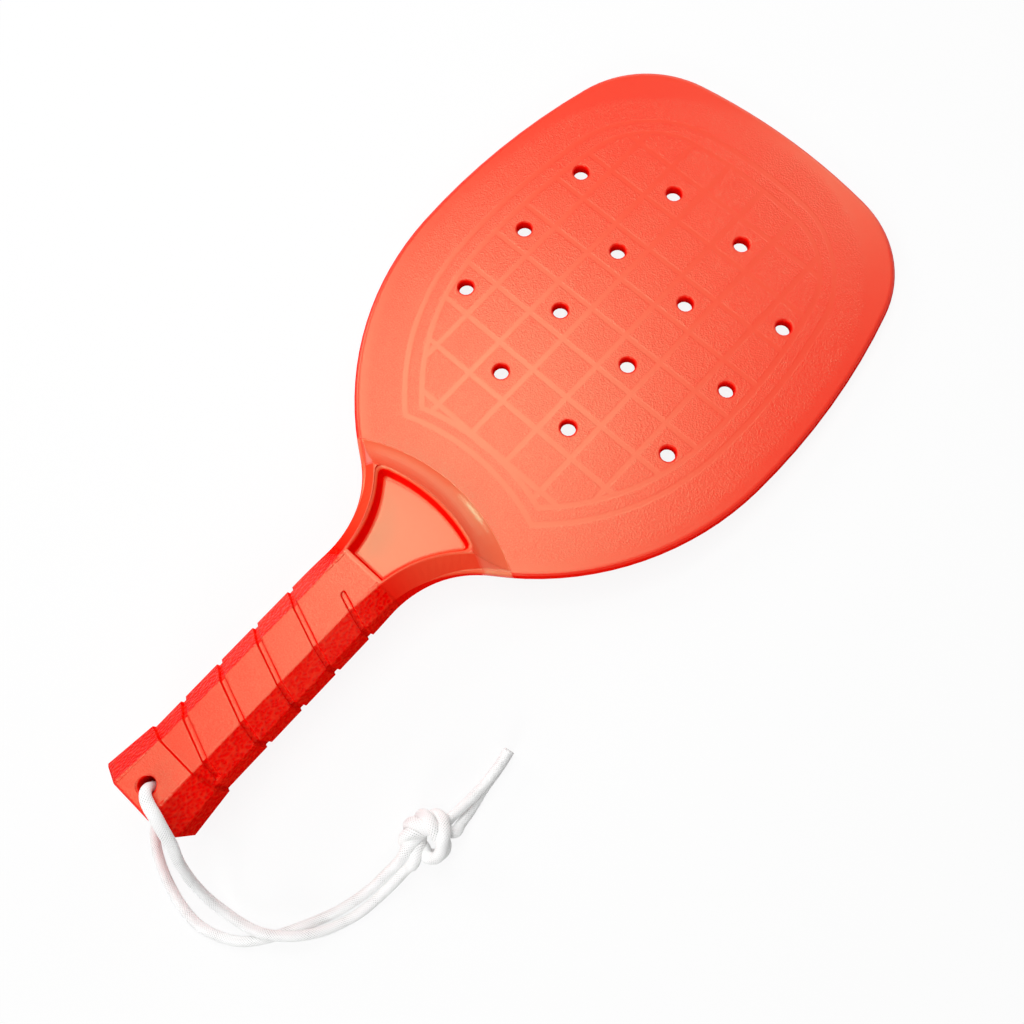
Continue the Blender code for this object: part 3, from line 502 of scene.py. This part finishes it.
def bump(tree, height, distance, edge_radius=0.0):
    """Normals of a fine relief, over edges that are softened by the radius."""
    node = tree.nodes.new("ShaderNodeBump")
    node.inputs["Distance"].default_value = distance
    tree.links.new(height.socket, node.inputs["Height"])
    if edge_radius:
        worn = tree.nodes.new("ShaderNodeBevel")
        worn.samples = EDGE_SAMPLES
        worn.inputs["Radius"].default_value = edge_radius
        tree.links.new(worn.outputs["Normal"], node.inputs["Normal"])
    return node.outputs["Normal"]


def moulding_place(tree):
    """Object coordinates in hole pitches, from the middle of the moulding's hole field."""
    coordinates = tree.nodes.new("ShaderNodeTexCoord")
    turned = tree.nodes.new("ShaderNodeMapping")
    turned.vector_type = "TEXTURE"
    origin = BUTT_END + MOULDING_TILT @ Vector((0.0, OVERALL_LENGTH - HOLE_FIELD_BELOW_TIP, 0.0))
    turned.inputs["Location"].default_value = origin
    turned.inputs["Rotation"].default_value = (math.radians(TABLE_TILT), 0.0, 0.0)
    turned.inputs["Scale"].default_value = (HOLE_PITCH, HOLE_PITCH, HOLE_PITCH)
    tree.links.new(coordinates.outputs["Object"], turned.inputs["Vector"])
    split = tree.nodes.new("ShaderNodeSeparateXYZ")
    tree.links.new(turned.outputs["Vector"], split.inputs["Vector"])
    return turned.outputs["Vector"], Field(tree, split.outputs["X"]), Field(tree, split.outputs["Y"])


def facing_up(tree):
    """How squarely the surface faces up or down from the moulding's middle plane, 0 where upright."""
    geometry = tree.nodes.new("ShaderNodeNewGeometry")
    product = tree.nodes.new("ShaderNodeVectorMath")
    product.operation = "DOT_PRODUCT"
    tree.links.new(geometry.outputs["Normal"], product.inputs[0])
    product.inputs[1].default_value = MOULDING_TILT @ Vector((0.0, 0.0, 1.0))
    return Field(tree, product.outputs["Value"]).size()


def inside_blade(x, y):
    """Distance inside the blade's outline, from its arcs."""
    across = x.size()
    tip_edge = x.length(y + TIP_CENTRE_BELOW) - TIP_RADIUS
    side_edge = (across + SIDE_CENTRE_BEYOND).length(y - SIDE_CENTRE_ABOVE) - SIDE_RADIUS
    lower_edge = (across + LOWER_CENTRE_BEYOND).length(y - LOWER_CENTRE_ABOVE) - LOWER_RADIUS
    lower = y.fade(*LOWER_ARC_TOP).away()
    upper_edge = rounded_meeting(tip_edge, side_edge, CORNER_RADIUS)
    return (upper_edge * lower.away() + lower_edge * lower) * -1.0


def on_line(distance):
    """1 on a line, by the distance from its middle."""
    return distance.size().fade(*LINE_EDGE).away()


def lattice_lines(x, y):
    """1 on the smooth lines between the stippled squares, by distance to the nearest of them."""
    def to_line(place):
        return ((place - LATTICE_SHIFT) / LATTICE_PITCH).made("PINGPONG", 0.5) * LATTICE_PITCH
    return to_line(x).under(to_line(y)).fade(*LINE_EDGE).away()


class Regions:
    """Parts of the moulding's surface, each 1 there and 0 elsewhere."""

    def __init__(self, x, y):
        inside = inside_blade(x, y)
        from_cove = x.length(y + COVE_CENTRE_BELOW)
        self.handle = y.fade(*HANDLE_TOP).away()
        self.facets = x.size().fade(*FACETS_START)
        self.neck = from_cove.fade(*COVE_END).away() * self.handle.away() * y.fade(*NECK_TOP).away()
        self.cove = from_cove.fade(*COVE_START) * self.neck
        blade = self.handle.over(self.neck).away()
        above_arc = from_cove - OUTER_LINE_ARC_RADIUS
        outer = (inside - OUTER_LINE_INSET).under(above_arc)
        inner = (inside - INNER_LINE_INSET).under(above_arc - INNER_LINE_ABOVE_OUTER)
        lattice = lattice_lines(x, y / LATTICE_LENGTHENED) * inner.fade(*LATTICE_EDGE)
        self.rim = inside.fade(*RIM).away() * blade
        self.lines = lattice.over(on_line(outer)).over(on_line(inner)) * blade
        smooth = self.lines.over(self.rim).over(self.neck)
        self.stippled = smooth.over(self.handle).away()


def paddle_plastic():
    """Orange-red plastic: stippled blade with smooth lines, smooth neck, leather-grained handle."""
    material, tree, shader = new_material("textured_orange_red_plastic")
    vector, x, y = moulding_place(tree)
    on = Regions(x, y)
    facing = facing_up(tree)

    stipple = noise(tree, vector, STIPPLE_SCALE, 2.0, 0.6)
    pits = cells(tree, vector, PIT_SCALE)
    grain = cells(tree, vector, GRAIN_SCALE)
    fine = noise(tree, vector, FINE_SCALE, 3.0, 0.6)
    wobble = noise(tree, vector, WOBBLE_SCALE, 2.0)
    mottle = noise(tree, vector, MOTTLE_SCALE, 3.0)

    # Relief, in shares of the texture's height
    leather = grain * (on.facets * 2.8 + 0.15) + fine * 0.8
    height = (stipple * 0.65 + pits * 0.4) * on.stippled + leather * on.handle
    height = height + on.lines * 0.30 + wobble * 0.25
    tree.links.new(bump(tree, height, TEXTURE_HEIGHT, EDGE_SOFTNESS), shader.inputs["Normal"])

    # Share of the pale red, which is more on the slopes of the smooth neck as a painted highlight
    sloping = facing.fade(*PAINTED_HIGHLIGHT_FROM) * facing.fade(*PAINTED_HIGHLIGHT_TO).away()
    painted_neck_highlight = on.neck * sloping * y.fade(*PAINTED_HIGHLIGHT_START)
    texture = (stipple - 0.5) * on.stippled * 0.9 + (fine - 0.5) * on.handle * 0.9
    # The smooth lines and the rim band are paler as painted sheen.
    pale = on.lines * 0.10 + on.rim * 0.03 + (mottle - 0.5) * 0.06 + texture * 0.15
    # The paler grain bumps on the handle's facets are painted highlights, and so is the paler share on the
    # neck's slopes.
    pale = pale + painted_neck_highlight * 0.75 + (grain - 0.4) * on.facets * on.handle * 0.40 + 0.04
    tree.links.new(mixed_colour(tree, pale, DEEP_RED, PALE_RED), shader.inputs["Base Color"])

    # Roughness, and gloss that falls off on steep sides
    roughness = on.lines * 0.007 + on.neck * -0.01 + on.cove * -0.10 + 0.31 + (mottle - 0.5) * 0.02
    tree.links.new(roughness.socket, shader.inputs["Roughness"])
    gloss = facing.fade(*GLOSS_FACING).over(on.cove) * (texture + 0.94) * 0.82
    tree.links.new(gloss.socket, shader.inputs["Specular IOR Level"])
    shader.inputs["IOR"].default_value = PLASTIC_IOR
    shader.inputs["Specular Tint"].default_value = REFLECTED_TINT
    return material


def braid_material():
    """White yarns with painted shade between them, and fine fibres."""
    material, tree, shader = new_material("white_braid")
    attribute = tree.nodes.new("ShaderNodeAttribute")
    attribute.attribute_name = "yarn_height"
    on_yarn = Field(tree, attribute.outputs["Fac"]).fade(*YARN_HEIGHTS)
    coordinates = tree.nodes.new("ShaderNodeTexCoord")
    fibres = noise(tree, coordinates.outputs["Object"], FIBRE_SCALE, 2.0)
    # The grey between the yarns, by yarn height, is painted shade.
    tree.links.new(mixed_colour(tree, on_yarn, PAINTED_GAP_SHADE, YARN_WHITE), shader.inputs["Base Color"])
    tree.links.new(bump(tree, fibres, FIBRE_HEIGHT), shader.inputs["Normal"])
    shader.inputs["Roughness"].default_value = 0.85
    shader.inputs["Sheen Weight"].default_value = 0.2
    shader.inputs["Sheen Roughness"].default_value = 0.5
    return material


def wrist_cord():
    """The cord's seven pieces, each in the place of its solid, which is hidden."""
    white = braid_material()
    cord = Cord()
    names = ["lower_tail", "knot_back_strand", "back_strand", "in_lanyard_hole", "front_strand",
             "knot_front_strand", "upper_tail"]
    made, lines = {}, {}
    for number, name in enumerate(names):
        made[name], lines[name] = cord.piece("braid_" + name, number, white)
        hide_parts("cord_" + name)


def area_lamp(name, place, target, size, radiance, turn=0.0):
    """Rectangular lamp aimed at a target, with the radiance of its face and a turn in degrees."""
    data = bpy.data.lights.new(name, "AREA")
    data.shape = "RECTANGLE"
    data.size, data.size_y = size
    data.energy = radiance * math.pi * size[0] * size[1]
    lamp = bpy.data.objects.new(name, data)
    bpy.context.scene.collection.objects.link(lamp)
    lamp.location = place
    aim = (Vector(target) - Vector(place)).to_track_quat("-Z", "Y").to_matrix()
    lamp.rotation_euler = (Matrix.Rotation(math.radians(turn), 3, "Z") @ aim).to_euler()


def lamp_above(name, place, size, radiance, turn=0.0):
    """Rectangular lamp that shines straight down."""
    area_lamp(name, place, (place[0], place[1], 0.0), size, radiance, turn)


def background_rays(tree):
    """1 for the rays that see the white background: those of the camera, of gloss and of glass."""
    ray = tree.nodes.new("ShaderNodeLightPath")
    kinds = ("Is Camera Ray", "Is Glossy Ray", "Is Transmission Ray")
    camera, glossy, transmitted = [Field(tree, ray.outputs[kind]) for kind in kinds]
    return (camera + glossy + transmitted).under(1.0)


def seen_as(tree, plain, white, share, output):
    """Shows white in place of plain by a share, at a tree's output."""
    mix = tree.nodes.new("ShaderNodeMixShader")
    tree.links.new(share.socket, mix.inputs["Fac"])
    tree.links.new(plain, mix.inputs[1])
    tree.links.new(white, mix.inputs[2])
    tree.links.new(mix.outputs["Shader"], tree.nodes[output].inputs["Surface"])


def pale_table():
    """Pale floor that looks white, with what is left of its own shading to show the shadow."""
    mesh = bpy.data.meshes.new("table")
    corners = [(-1, -1), (1, -1), (1, 1), (-1, 1)]
    mesh.from_pydata([(TABLE_REACH * x, TABLE_REACH * y, 0) for x, y in corners], [], [(0, 1, 2, 3)])
    floor = bpy.data.objects.new("table", mesh)
    bpy.context.scene.collection.objects.link(floor)
    floor.location.z = -TABLE_GAP
    material, tree, shader = new_material("pale_table")
    shader.inputs["Base Color"].default_value = TABLE_PALE
    shader.inputs["Roughness"].default_value = 0.9
    shader.inputs["Specular IOR Level"].default_value = 0.1
    glow = tree.nodes.new("ShaderNodeEmission")
    glow.inputs["Strength"].default_value = TABLE_SEEN_GLOW
    share = background_rays(tree) * TABLE_SEEN_SHARE
    seen_as(tree, shader.outputs["BSDF"], glow.outputs["Emission"], share, "Material Output")
    mesh.materials.append(material)


def white_room():
    """Faint even light from all round, in a room that looks white."""
    world = bpy.data.worlds.new("studio")
    bpy.context.scene.world = world
    world.use_nodes = True
    tree = world.node_tree
    room = tree.nodes["Background"]
    room.inputs["Color"].default_value = (1.0, 1.0, 1.0, 1.0)
    room.inputs["Strength"].default_value = ROOM_LIGHT
    white = tree.nodes.new("ShaderNodeBackground")
    white.inputs["Strength"].default_value = 1.0
    plain, bright = room.outputs["Background"], white.outputs["Background"]
    seen_as(tree, plain, bright, background_rays(tree), "World Output")


def studio():
    """White table, white room and soft lamps."""
    bpy.context.scene.view_settings.view_transform = "Standard"
    pale_table()
    white_room()
    lamp_above("overhead_softbox", (-0.40, 0.36, 1.0), (0.50, 0.22), 5.4, turn=42.0)
    lamp_above("middle_softbox", (-0.19, 0.14, 0.7), (0.41, 0.41), 3.4)
    lamp_above("near_softbox", (0.06, -0.15, 0.7), (0.38, 0.32), 4.1)
    area_lamp("left_softbox", (-1.00, -0.18, 0.60), LEFT_AND_RIGHT_TARGET, (0.50, 0.40), 6.6)
    area_lamp("right_softbox", (0.44, -1.10, 0.52), LEFT_AND_RIGHT_TARGET, (0.50, 0.40), 9.5)
    area_lamp("far_softbox", (-0.45, 1.25, 0.46), FAR_TARGET, (1.10, 0.55), 1.1)
    area_lamp("far_lamp", (-0.15, 1.05, 0.80), FAR_TARGET, (0.14, 0.24), 12.0)


make_camera()
wrist_cord()
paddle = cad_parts["paddle_moulding"]
paddle.material_slots[0].material = paddle_plastic()
studio()
